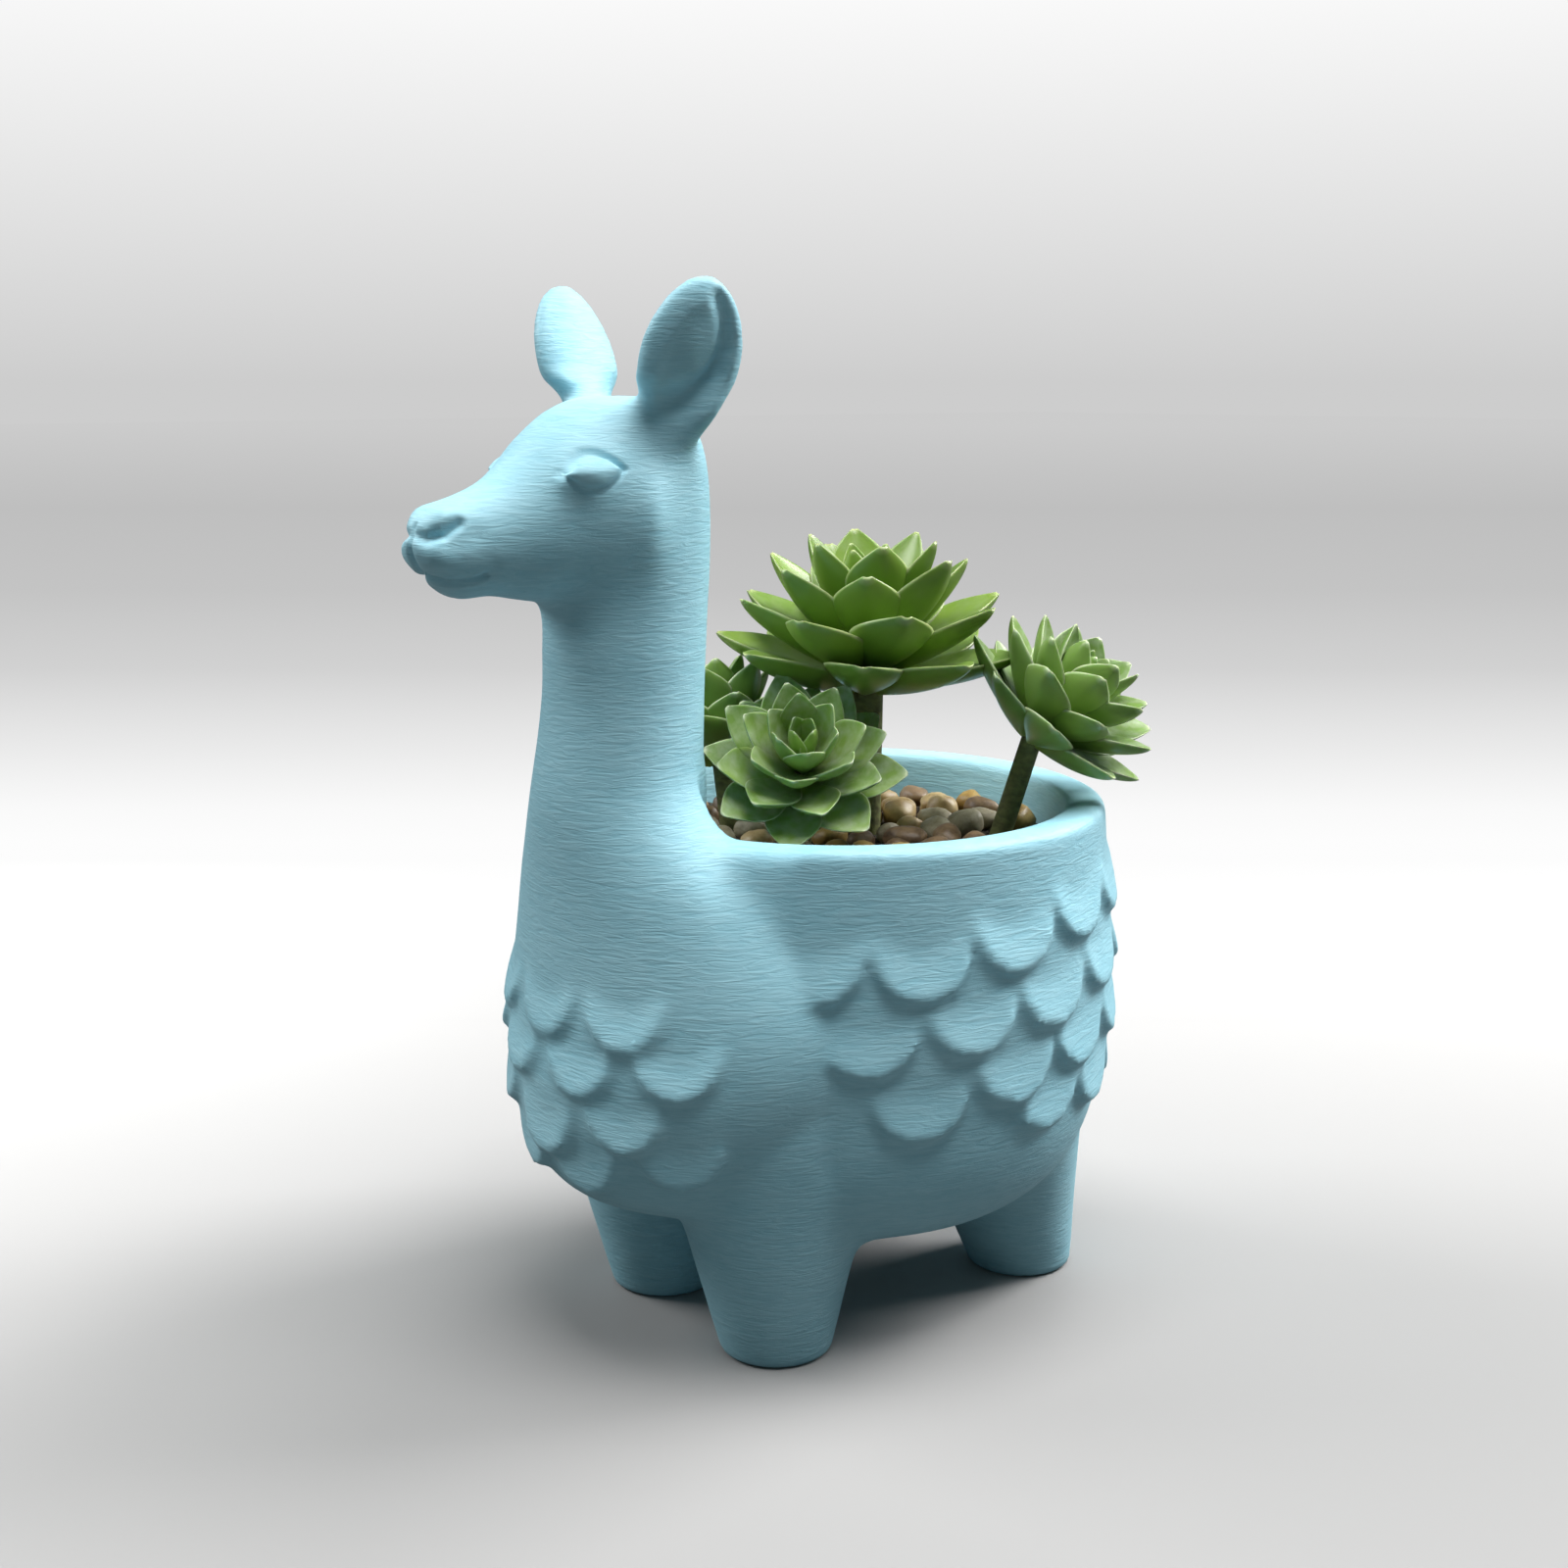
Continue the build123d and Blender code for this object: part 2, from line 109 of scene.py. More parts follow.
def modified(mesh: bpy.types.Mesh, kind: str, **settings: object) -> bpy.types.Mesh:
    """Mesh after one modifier.

    Args:
        mesh: Source mesh, left as it is.
        kind: Modifier type.
        settings: Values for the modifier's properties.

    Returns:
        The new mesh.
    """
    holder = bpy.data.objects.new("holder", mesh)
    bpy.context.scene.collection.objects.link(holder)
    modifier = holder.modifiers.new("step", kind)
    for key, value in settings.items():
        setattr(modifier, key, value)
    graph = bpy.context.evaluated_depsgraph_get()
    result = bpy.data.meshes.new_from_object(holder.evaluated_get(graph))
    bpy.data.objects.remove(holder)
    return result


def new_piece(name: str, work: bmesh.types.BMesh) -> bpy.types.Object:
    """Turn a working mesh into a smooth object at the origin.

    Args:
        name: Object name.
        work: Working mesh, freed here.

    Returns:
        The object.
    """
    mesh = bpy.data.meshes.new(name)
    work.to_mesh(mesh)
    work.free()
    mesh.polygons.foreach_set("use_smooth", np.ones(len(mesh.polygons), dtype=bool))
    piece = bpy.data.objects.new(name, mesh)
    bpy.context.scene.collection.objects.link(piece)
    return piece


class Graph:
    """A material and short ways to add and link its nodes."""

    def __init__(self, name: str, roughness: float) -> None:
        """Start a material.

        Args:
            name: Material name.
            roughness: Roughness of its shader.
        """
        self.material = bpy.data.materials.new(name)
        self.material.use_nodes = True
        self.tree = self.material.node_tree
        self.shader = self.tree.nodes["Principled BSDF"]
        self.shader.inputs["Roughness"].default_value = roughness

    def add(self, kind: str, **settings: object) -> bpy.types.Node:
        """Add a node.

        Args:
            kind: Node type.
            settings: Values for the node's properties.

        Returns:
            The new node.
        """
        node = self.tree.nodes.new(kind)
        for key, value in settings.items():
            setattr(node, key, value)
        return node

    def link(self, source: bpy.types.NodeSocket, target: bpy.types.NodeSocket) -> None:
        """Link two sockets.

        Args:
            source: Output socket.
            target: Input socket.
        """
        self.tree.links.new(source, target)

    def place(self, scale: tuple) -> bpy.types.NodeSocket:
        """Object coordinates, stretched.

        Args:
            scale: Repeats per metre on each axis.

        Returns:
            The stretched coordinates.
        """
        coords = self.add("ShaderNodeTexCoord")
        mapping = self.add("ShaderNodeMapping")
        mapping.inputs["Scale"].default_value = scale
        self.link(coords.outputs["Object"], mapping.inputs["Vector"])
        return mapping.outputs["Vector"]

    def noise(
        self, vector: bpy.types.NodeSocket, detail: float, distortion: float = 0.0
    ) -> bpy.types.NodeSocket:
        """Noise at unit scale over given coordinates.

        Args:
            vector: Coordinates.
            detail: Octaves.
            distortion: Warp of the pattern.

        Returns:
            The noise value.
        """
        node = self.add("ShaderNodeTexNoise")
        node.inputs["Scale"].default_value = 1.0
        node.inputs["Detail"].default_value = detail
        node.inputs["Distortion"].default_value = distortion
        self.link(vector, node.inputs["Vector"])
        return node.outputs["Fac"]

    def attribute(self, name: str) -> bpy.types.NodeSocket:
        """Number stored on the mesh.

        Args:
            name: Attribute name.

        Returns:
            The stored number.
        """
        return self.add("ShaderNodeAttribute", attribute_name=name).outputs["Fac"]

    def ramp(self, value: bpy.types.NodeSocket, stops: tuple) -> bpy.types.NodeSocket:
        """Colour ramp.

        Args:
            value: Number that picks the colour.
            stops: Pairs of position and colour or grey level.

        Returns:
            The colour.
        """
        node = self.add("ShaderNodeValToRGB")
        elements = node.color_ramp.elements
        while len(elements) < len(stops):
            elements.new(0.5)
        for element, (position, colour) in zip(elements, stops):
            element.position = position
            element.color = (*colour, 1.0) if isinstance(colour, tuple) else (colour, colour, colour, 1.0)
        self.link(value, node.inputs["Fac"])
        return node.outputs["Color"]

    def mix(self, factor: bpy.types.NodeSocket, first: object, second: object) -> bpy.types.NodeSocket:
        """Mix two colours.

        Args:
            factor: Mixing share.
            first: Colour or socket at share 0.
            second: Colour or socket at share 1.

        Returns:
            The mixed colour.
        """
        node = self.add("ShaderNodeMix", data_type="RGBA")
        self.link(factor, node.inputs[0])
        for socket, colour in ((node.inputs[6], first), (node.inputs[7], second)):
            if isinstance(colour, tuple):
                socket.default_value = (*colour, 1.0)
            else:
                self.link(colour, socket)
        return node.outputs[2]

    def math(self, operation: str, first: bpy.types.NodeSocket, second: object) -> bpy.types.NodeSocket:
        """Arithmetic on a socket.

        Args:
            operation: Name of the operation.
            first: First value.
            second: Number or second value.

        Returns:
            The result.
        """
        node = self.add("ShaderNodeMath", operation=operation)
        self.link(first, node.inputs[0])
        if isinstance(second, (int, float)):
            node.inputs[1].default_value = second
        else:
            self.link(second, node.inputs[1])
        return node.outputs[0]

    def bump(self, height: bpy.types.NodeSocket, strength: float, distance: float) -> None:
        """Drive the shader's normal by a height.

        Args:
            height: Height value.
            strength: Share of the effect.
            distance: Height in metres that the value 1 stands for.
        """
        node = self.add("ShaderNodeBump")
        node.inputs["Strength"].default_value = strength
        node.inputs["Distance"].default_value = distance
        self.link(height, node.inputs["Height"])
        self.link(node.outputs["Normal"], self.shader.inputs["Normal"])

    def colour(self, socket: bpy.types.NodeSocket) -> None:
        """Set the base colour.

        Args:
            socket: Colour socket.
        """
        self.link(socket, self.shader.inputs["Base Color"])


@dataclass(frozen=True)
class PrintFinish:
    """Matte powder-blue print with fine level strokes."""

    light: tuple = (0.41, 0.72, 0.82)
    deep: tuple = (0.315, 0.63, 0.74)
    stroke_scale: tuple = (210.0, 210.0, 1500.0)
    patch_scale: tuple = (28.0, 28.0, 45.0)
    patch_share: float = 0.4

    def material(self) -> bpy.types.Material:
        """Build the material.

        Returns:
            The blue print material.
        """
        graph = Graph("blue_print", 0.55)
        strokes = graph.noise(graph.place(self.stroke_scale), 4.0, 1.0)
        patches = graph.noise(graph.place(self.patch_scale), 2.0)
        streaky = graph.math("MULTIPLY", strokes, 1.0 - self.patch_share)
        patchy = graph.math("MULTIPLY", patches, self.patch_share)
        tone = graph.math("ADD", streaky, patchy)
        graph.colour(graph.ramp(tone, ((0.36, self.deep), (0.64, self.light))))
        graph.bump(strokes, 0.42, 0.4 * MM)
        return graph.material


@dataclass(frozen=True)
class LeafFinish:
    """Waxy leaf: green blade, pale margin and tip, paler foot and a grey bloom above."""

    name: str
    blade: tuple
    shade: tuple
    foot: tuple
    margin: tuple
    bloom: tuple
    bloom_share: float

    def material(self) -> bpy.types.Material:
        """Build the material from the leaf's own map (across, along) and stored numbers.

        Returns:
            The leaf material.
        """
        graph = Graph(self.name, 0.34)
        uv = graph.add("ShaderNodeUVMap", uv_map="leaf")
        split = graph.add("ShaderNodeSeparateXYZ")
        graph.link(uv.outputs["UV"], split.inputs[0])
        mottle = graph.noise(graph.place((420.0, 420.0, 420.0)), 4.0)
        across = graph.math("ABSOLUTE", graph.math("SUBTRACT", split.outputs["X"], 0.5), 0.0)
        blade = graph.mix(graph.attribute("tone"), self.shade, self.blade)
        along = graph.math("ADD", split.outputs["Y"], graph.math("MULTIPLY", mottle, 0.12))
        body = graph.mix(graph.ramp(along, ((0.04, 0.0), (0.45, 1.0))), self.foot, blade)
        dust = graph.math("MULTIPLY", graph.ramp(mottle, ((0.36, 0.0), (0.70, 1.0))), self.bloom_share)
        dusted = graph.mix(graph.math("MULTIPLY", dust, graph.attribute("upper")), body, self.bloom)
        frayed = graph.math("ADD", across, graph.math("MULTIPLY", mottle, 0.04))
        edge = graph.ramp(frayed, ((0.455, 0.0), (0.52, 1.0)))
        tip = graph.ramp(split.outputs["Y"], ((0.91, 0.0), (0.99, 1.0)))
        pale = graph.math("MULTIPLY", graph.math("MAXIMUM", edge, tip), 0.75)
        graph.colour(graph.mix(pale, dusted, self.margin))
        graph.bump(mottle, 0.12, 0.3 * MM)
        graph.shader.inputs["Subsurface Weight"].default_value = 0.15
        graph.shader.inputs["Subsurface Radius"].default_value = (0.6, 1.0, 0.2)
        graph.shader.inputs["Subsurface Scale"].default_value = 1.2 * MM
        graph.shader.inputs["Coat Weight"].default_value = 0.06
        graph.shader.inputs["Coat Roughness"].default_value = 0.35
        return graph.material


@dataclass(frozen=True)
class GrainFinish:
    """Two-tone grainy matter: stone, earth or a woody stem."""

    name: str
    pale: tuple
    deep: tuple
    cloud_scale: tuple
    speck_scale: float
    speck_share: float
    roughness: float
    bump_strength: float
    bump_height: float

    def material(self) -> bpy.types.Material:
        """Build the material.

        Returns:
            The grainy material.
        """
        graph = Graph(self.name, self.roughness)
        clouds = graph.noise(graph.place(self.cloud_scale), 5.0, 0.9)
        specks = graph.noise(graph.place((self.speck_scale,) * 3), 3.0)
        cloudy = graph.math("MULTIPLY", clouds, 1.0 - self.speck_share)
        specky = graph.math("MULTIPLY", specks, self.speck_share)
        tone = graph.math("ADD", cloudy, specky)
        graph.colour(graph.ramp(tone, ((0.34, self.deep), (0.64, self.pale))))
        graph.bump(specks, self.bump_strength, self.bump_height)
        return graph.material


def stone(name: str, pale: tuple, deep: tuple) -> GrainFinish:
    """Finish of a dry smooth pebble.

    Args:
        name: Finish name.
        pale: Lighter colour.
        deep: Darker colour.

    Returns:
        The finish.
    """
    return GrainFinish(
        name=name,
        pale=pale,
        deep=deep,
        cloud_scale=(190.0, 260.0, 330.0),
        speck_scale=1900.0,
        speck_share=0.2,
        roughness=0.45,
        bump_strength=0.3,
        bump_height=0.12 * MM,
    )


SOIL_FINISH = GrainFinish(
    name="soil",
    pale=(0.085, 0.062, 0.045),
    deep=(0.012, 0.010, 0.008),
    cloud_scale=(500.0, 500.0, 500.0),
    speck_scale=1500.0,
    speck_share=0.5,
    roughness=0.95,
    bump_strength=0.9,
    bump_height=0.8 * MM,
)
STEM_FINISH = GrainFinish(
    name="stem",
    pale=(0.26, 0.28, 0.10),
    deep=(0.13, 0.12, 0.05),
    cloud_scale=(300.0, 300.0, 700.0),
    speck_scale=1200.0,
    speck_share=0.3,
    roughness=0.7,
    bump_strength=0.5,
    bump_height=0.3 * MM,
)


@dataclass(frozen=True)
class Stroke:
    """A soft groove along a path in millimetres."""

    path: tuple
    width: float
    depth: float

    def lift(self, points: np.ndarray) -> np.ndarray:
        """Relief of the stroke.

        Args:
            points: Vertex places in the path's own axes.

        Returns:
            Relief at each vertex, below zero in the groove.
        """
        nearest = np.full(len(points), np.inf)
        nodes = np.array(self.path) * MM
        for start, end in zip(nodes, nodes[1:]):
            span = end - start
            share = np.clip((points - start) @ span / (span @ span), 0.0, 1.0)
            nearest = np.minimum(nearest, np.linalg.norm(points - start - share[:, None] * span, axis=1))
        return -self.depth * np.exp(-((nearest / self.width) ** 2))


@dataclass(frozen=True)
class Swell:
    """A soft round mound on the face, pushed along a direction."""

    centre: tuple
    radius: float
    push: tuple

    def shift(self, points: np.ndarray) -> np.ndarray:
        """Movement of the vertices.

        Args:
            points: Vertex places with the side taken as positive.

        Returns:
            One movement per vertex.
        """
        away = np.linalg.norm(points - np.array(self.centre) * MM, axis=1) / self.radius
        return np.exp(-(away**2))[:, None] * np.array(self.push) * MM


@dataclass(frozen=True)
class Band:
    """A stretch along one direction, in millimetres, with eased ends."""

    start: float
    full: float
    ebb: float
    end: float

    def share(self, value: np.ndarray) -> np.ndarray:
        """How far values lie inside the band.

        Args:
            value: Places along the direction, in metres.

        Returns:
            Share of each place: 1 from full to ebb, 0 outside start and end.
        """
        return ease(value, self.start * MM, self.full * MM) * ease(value, self.end * MM, self.ebb * MM)


# Grooves of the left half of the face: side, depth and height of their points
NOSTRIL = ((1.5, -66.9, 142.2), (3.6, -66.2, 141.5), (5.2, -64.0, 142.3), (5.9, -61.9, 144.0))
NOSE_GROOVE = ((0.0, -66.3, 143.4), (0.0, -66.9, 140.2), (0.0, -65.8, 137.1), (0.0, -65.4, 136.2))
MOUTH_LINE = ((0.0, -65.4, 136.2), (3.2, -63.1, 135.2), (5.1, -60.4, 135.2), (6.0, -57.7, 135.5))
MOUTH_CORNER = ((6.5, -57.0, 136.2), (6.9, -56.6, 136.8))
NOSE_WING_DIP = ((5.6, -62.4, 140.6), (6.8, -59.6, 142.0))
FACE_STROKES = (
    Stroke(NOSTRIL, 0.85 * MM, 1.5 * MM),
    Stroke(NOSE_GROOVE, 0.7 * MM, 1.0 * MM),
    Stroke(MOUTH_LINE, 0.6 * MM, 1.0 * MM),
    Stroke(MOUTH_CORNER, 1.2 * MM, 0.3 * MM),
    Stroke(NOSE_WING_DIP, 1.6 * MM, 0.35 * MM),
)
NOSE_WING = Swell((3.6, -63.6, 145.0), 2.6 * MM, (0.5, -0.5, 0.6))
UPPER_LIP = Swell((4.4, -64.2, 138.6), 2.6 * MM, (0.7, -0.8, 0.0))
CHIN = Swell((1.0, -60.0, 133.8), 4.5 * MM, (0.2, -0.2, -1.5))
NOSE_TIP = Swell((0.0, -67.0, 140.5), 5.0 * MM, (0.0, -1.0, 0.0))
FACE_SWELLS = (NOSE_WING, UPPER_LIP, CHIN, NOSE_TIP)

# Stretches of the body that are blended or sharpened, along its depth and height
HIP_HEIGHTS = Band(6.0, 14.0, 33.0, 38.0)
SADDLE_DEPTHS = Band(-31.0, -27.0, -9.0, -5.0)
SADDLE_HEIGHTS = Band(34.0, 42.0, 93.0, 98.0)
HEAD_HEIGHTS = Band(122.0, 128.0, 161.0, 165.0)
CHEEK_DEPTHS = Band(-47.0, -42.0, -27.0, -22.0)
CHEEK_HEIGHTS = Band(121.0, 126.0, 156.0, 160.0)
FLANK_HEIGHTS = Band(36.0, 40.0, 86.0, 89.0)
CHEST_HEIGHTS = Band(26.0, 30.0, 76.0, 84.0)

# The ear's fold, across and along the ear, in millimetres
EAR_FOLD = ((-2.0, 6.5), (1.4, 9.0), (3.8, 12.5), (4.7, 16.5), (3.9, 20.5), (1.8, 24.0))


@dataclass
class LlamaBody:
    """The printed llama: remeshed from its CAD solid, softened, with crisp fleece and a carved face."""

    voxel: float = 0.64 * MM
    relax_share: float = 0.55
    blend_steps: int = 64
    finish_steps: int = 4
    cheek_steps: int = 90
    fleece_steps: int = 40
    fleece_gain: float = 0.75
    round_steps: int = 12
    triangles: int = 185000
    ear_foot: tuple = (11.5, -26.92, 155.16)
    ear_splay: float = 21.0
    ear_facing: float = 52.0
    ear_turn: float = 26.0
    fold_width: float = 1.1 * MM
    fold_depth: float = 1.7 * MM
    pad_height: float = 1.9 * MM
    pad_centre: tuple = (-1.2 * MM, 15.0 * MM)
    pad_spread: tuple = (4.0 * MM, 7.5 * MM)
    eye: tuple = (-42.2, 151.0)
    eye_half: tuple = (4.4, 2.5)
    eye_slant: float = 0.15
    eyeball_height: float = 1.2 * MM
    upper_lid_depth: float = 0.75 * MM
    lower_lid_depth: float = 0.4 * MM
    lid_line: float = 1.15
    lid_spread: float = 0.28

    def build(self) -> bpy.types.Object:
        """Make the visual body.

        Returns:
            The llama as one object.
        """
        mesh = self.remesh(frame["nodes"]["planter_body"].data)
        self.soften(mesh)
        self.refine_head(mesh)
        self.carve(mesh)
        count = sum(len(polygon.vertices) - 2 for polygon in mesh.polygons)
        mesh = modified(mesh, "DECIMATE", ratio=min(self.triangles / count, 1.0))
        mesh.polygons.foreach_set("use_smooth", np.ones(len(mesh.polygons), dtype=bool))
        piece = bpy.data.objects.new("llama_body", mesh)
        bpy.context.scene.collection.objects.link(piece)
        return piece

    def remesh(self, source: bpy.types.Mesh) -> bpy.types.Mesh:
        """Even mesh of the CAD solid.

        Args:
            source: The CAD mesh.

        Returns:
            A new mesh of even quads.
        """
        shell = bmesh.new()
        shell.from_mesh(source)
        bmesh.ops.remove_doubles(shell, verts=shell.verts, dist=0.005 * MM)
        welded = bpy.data.meshes.new("llama_shell")
        shell.to_mesh(welded)
        shell.free()
        return modified(welded, "REMESH", mode="VOXEL", voxel_size=self.voxel)

    def read(self, mesh: bpy.types.Mesh, what: str) -> np.ndarray:
        """Vertex places or normals of a mesh.

        Args:
            mesh: The mesh.
            what: Vertex property, "co" or "normal".

        Returns:
            One row per vertex.
        """
        flat = np.empty(len(mesh.vertices) * 3)
        mesh.vertices.foreach_get(what, flat)
        return flat.reshape(-1, 3)

    def store(self, mesh: bpy.types.Mesh, points: np.ndarray) -> None:
        """Write vertex places back.

        Args:
            mesh: The mesh.
            points: One row per vertex.
        """
        mesh.vertices.foreach_set("co", points.reshape(-1))
        mesh.update()

    def shape_ears(self, points: np.ndarray) -> np.ndarray:
        """Fold the ears' hollows and turn the ears about their own axes, as in the photograph.

        Args:
            points: Vertex places.

        Returns:
            The changed places.
        """
        ones = np.ones(len(points))
        mirror = np.column_stack((np.sign(points[:, 0]), ones, ones))
        local = points * mirror - np.array(self.ear_foot) * MM
        splay = Matrix.Rotation(math.radians(self.ear_splay), 3, "Y")
        ear = np.array(splay @ Matrix.Rotation(math.radians(self.ear_facing), 3, "Z"))
        across, through, along = (local @ ear[:, axis] for axis in range(3))
        beside_crown = ease(np.abs(points[:, 0]), 6 * MM, 8.5 * MM)
        hollow = beside_crown * ease(through, 0.6 * MM, -0.2 * MM)
        flat = np.column_stack((across, along, 0.0 * ones))
        path = tuple((*spot, 0.0) for spot in EAR_FOLD)
        fold = Stroke(path, self.fold_width, self.fold_depth).lift(flat)
        spots = (flat[:, :2] - np.array(self.pad_centre)) / np.array(self.pad_spread)
        pad = self.pad_height * np.exp(-np.sum(spots**2, axis=1))
        local = local - (hollow * (fold + pad))[:, None] * ear[:, 1]
        share = beside_crown * ease(along, 6 * MM, 12 * MM)
        angle = math.radians(self.ear_turn) * share[:, None]
        stem = along[:, None] * ear[:, 2]
        turned = stem + (local - stem) * np.cos(angle) + np.cross(ear[:, 2], local) * np.sin(angle)
        return (turned + np.array(self.ear_foot) * MM) * mirror

    def blend_weights(self, points: np.ndarray) -> np.ndarray:
        """Share of blending: strong where legs, chest, pot and head run together, none elsewhere.

        Args:
            points: Vertex places.

        Returns:
            Weight of each vertex, 0 to 1.
        """
        side = np.abs(points[:, 0])
        deep = points[:, 1]
        height = points[:, 2]
        bib = ease(deep, -24 * MM, -30 * MM) * ease(height, 29 * MM, 34 * MM)
        hips = HIP_HEIGHTS.share(height) * (1.0 - bib)
        saddle = ease(side, 33 * MM, 30 * MM) * SADDLE_DEPTHS.share(deep) * SADDLE_HEIGHTS.share(height)
        outside_pot = ease(np.hypot(side, deep - POT_AXIS_Y), 41.5 * MM, 44 * MM)
        head = 0.8 * HEAD_HEIGHTS.share(height)
        crown = ease(height, 158 * MM, 162 * MM) * ease(side, 7 * MM, 5 * MM)
        return np.maximum.reduce([hips, saddle * outside_pot, head, crown])

    def cheek_weights(self, points: np.ndarray) -> np.ndarray:
        """Share of the extra blending where the face runs into the neck.

        Args:
            points: Vertex places.

        Returns:
            Weight of each vertex, 0 to 1.
        """
        cheek = CHEEK_DEPTHS.share(points[:, 1]) * CHEEK_HEIGHTS.share(points[:, 2])
        return cheek * ease(self.almond(points), 1.2, 2.2)

    def fleece_weights(self, points: np.ndarray) -> np.ndarray:
        """Share of the fleece's sharpening over flanks, rump and chest.

        Args:
            points: Vertex places.

        Returns:
            Weight of each vertex, 0 to 1.
        """
        reach = np.hypot(points[:, 0], points[:, 1] - POT_AXIS_Y)
        height = points[:, 2]
        flank = ease(reach, 43 * MM, 45 * MM) * FLANK_HEIGHTS.share(height)
        chest = ease(points[:, 1], -20 * MM, -24 * MM) * CHEST_HEIGHTS.share(height)
        return np.maximum(flank, chest)

    def soften(self, mesh: bpy.types.Mesh) -> None:
        """Shape the ears, blend the joints between the masses, even out the surface and sharpen the fleece.

        Args:
            mesh: The even mesh, changed in place.
        """
        points = self.shape_ears(self.read(mesh, "co"))
        edges = np.empty(len(mesh.edges) * 2, dtype=np.int64)
        mesh.edges.foreach_get("vertices", edges)
        ends = edges.reshape(-1, 2).T
        soles = ease(points[:, 2], 1.2 * MM, 2.6 * MM)
        fleece = self.fleece_weights(points)
        points = self.relax(points, ends, self.blend_weights(points) * soles, self.blend_steps)
        points = self.relax(points, ends, self.cheek_weights(points), self.cheek_steps)
        points = self.relax(points, ends, soles, self.finish_steps)
        hide = self.relax(points, ends, fleece, self.fleece_steps)
        points = points + self.fleece_gain * fleece[:, None] * (points - hide)
        self.store(mesh, self.relax(points, ends, fleece, self.round_steps))

    def relax(self, points: np.ndarray, ends: np.ndarray, weight: np.ndarray, steps: int) -> np.ndarray:
        """Draw each vertex towards the mean of its neighbours.

        Args:
            points: Vertex places.
            ends: First and second vertex of each edge.
            weight: Share of the movement at each vertex.
            steps: Number of rounds.

        Returns:
            The relaxed places.
        """
        one, two = ends
        count = len(points)
        links = np.bincount(one, minlength=count) + np.bincount(two, minlength=count)
        for _ in range(steps):
            mean = np.empty_like(points)
            for axis in range(3):
                pulls = np.bincount(one, points[two, axis], count)
                pulls = pulls + np.bincount(two, points[one, axis], count)
                mean[:, axis] = pulls / links
            points = points + self.relax_share * weight[:, None] * (mean - points)
        return points

    def refine_head(self, mesh: bpy.types.Mesh) -> None:
        """Halve the mesh size over the face.

        Args:
            mesh: The mesh, changed in place.
        """
        work = bmesh.new()
        work.from_mesh(mesh)
        front = [edge for edge in work.edges if all(self.on_face(vert.co) for vert in edge.verts)]
        bmesh.ops.subdivide_edges(work, edges=front, cuts=1, use_grid_fill=True, smooth=0.5)
        work.to_mesh(mesh)
        work.free()

    def on_face(self, spot: Vector) -> bool:
        """Whether a point lies on the face.

        Args:
            spot: The point.

        Returns:
            True on the face.
        """
        return spot.z > 130 * MM and spot.y < -34 * MM

    def carve(self, mesh: bpy.types.Mesh) -> None:
        """Carve eyes, nose and mouth.

        Args:
            mesh: The mesh, changed in place.
        """
        mesh.update()
        points = self.read(mesh, "co")
        normals = self.read(mesh, "normal")
        mirrored = np.column_stack((np.abs(points[:, 0]), points[:, 1], points[:, 2]))
        face = (points[:, 2] > 126 * MM) & (points[:, 1] < -28 * MM)
        lift = self.eye_relief(mirrored)
        for stroke in FACE_STROKES:
            lift += stroke.lift(mirrored)
        shift = np.zeros_like(points)
        for swell in FACE_SWELLS:
            shift += swell.shift(mirrored)
        shift[:, 0] *= np.sign(points[:, 0])
        self.store(mesh, points + np.where(face[:, None], normals * lift[:, None] + shift, 0.0))

    def almond(self, points: np.ndarray) -> np.ndarray:
        """Distance from the middle of the eye in almonds: 1 on the lid line.

        Args:
            points: Vertex places.

        Returns:
            The distance of each vertex.
        """
        along = (points[:, 1] / MM - self.eye[0]) / self.eye_half[0]
        up = (points[:, 2] / MM - self.eye[1]) / self.eye_half[1] - self.eye_slant * along
        return np.abs(up) + along * along

    def eye_relief(self, mirrored: np.ndarray) -> np.ndarray:
        """Almond eyeball inside a lid groove that is deeper under the brow.

        Args:
            mirrored: Vertex places with the side taken as positive.

        Returns:
            Relief at each vertex.
        """
        almond = self.almond(mirrored)
        above = mirrored[:, 2] / MM > self.eye[1]
        depth = np.where(above, self.upper_lid_depth, self.lower_lid_depth)
        groove = depth * np.exp(-(((almond - self.lid_line) / self.lid_spread) ** 2))
        ball = self.eyeball_height * np.sqrt(np.clip(1.0 - almond, 0.0, 1.0))
        return (ball - groove) * ease(mirrored[:, 0], 6 * MM, 8 * MM)

    def dress(self, piece: bpy.types.Object, finish: PrintFinish) -> None:
        """Give the llama its finish and its place in the frame.

        Args:
            piece: The llama.
            finish: The print finish.
        """
        piece.data.materials.clear()
        piece.data.materials.append(finish.material())
        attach(piece, Body.PLANTER.value)
        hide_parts("planter_body")


@dataclass(frozen=True)
class Whorl:
    """One ring of leaves on a rosette's core."""

    node: str
    count: int
    elevation: float
    length_share: float
    up_share: float
    turn: float


WHORLS = (
    Whorl("outer_leaves", 8, 14.0, 1.00, 0.06, 0.0),
    Whorl("lower_leaves", 8, 28.0, 0.97, 0.28, 22.5),
    Whorl("middle_leaves", 7, 44.0, 0.88, 0.50, 8.0),
    Whorl("inner_leaves", 6, 60.0, 0.76, 0.72, 30.0),
    Whorl("heart_leaves", 4, 76.0, 0.50, 0.93, 10.0),
)


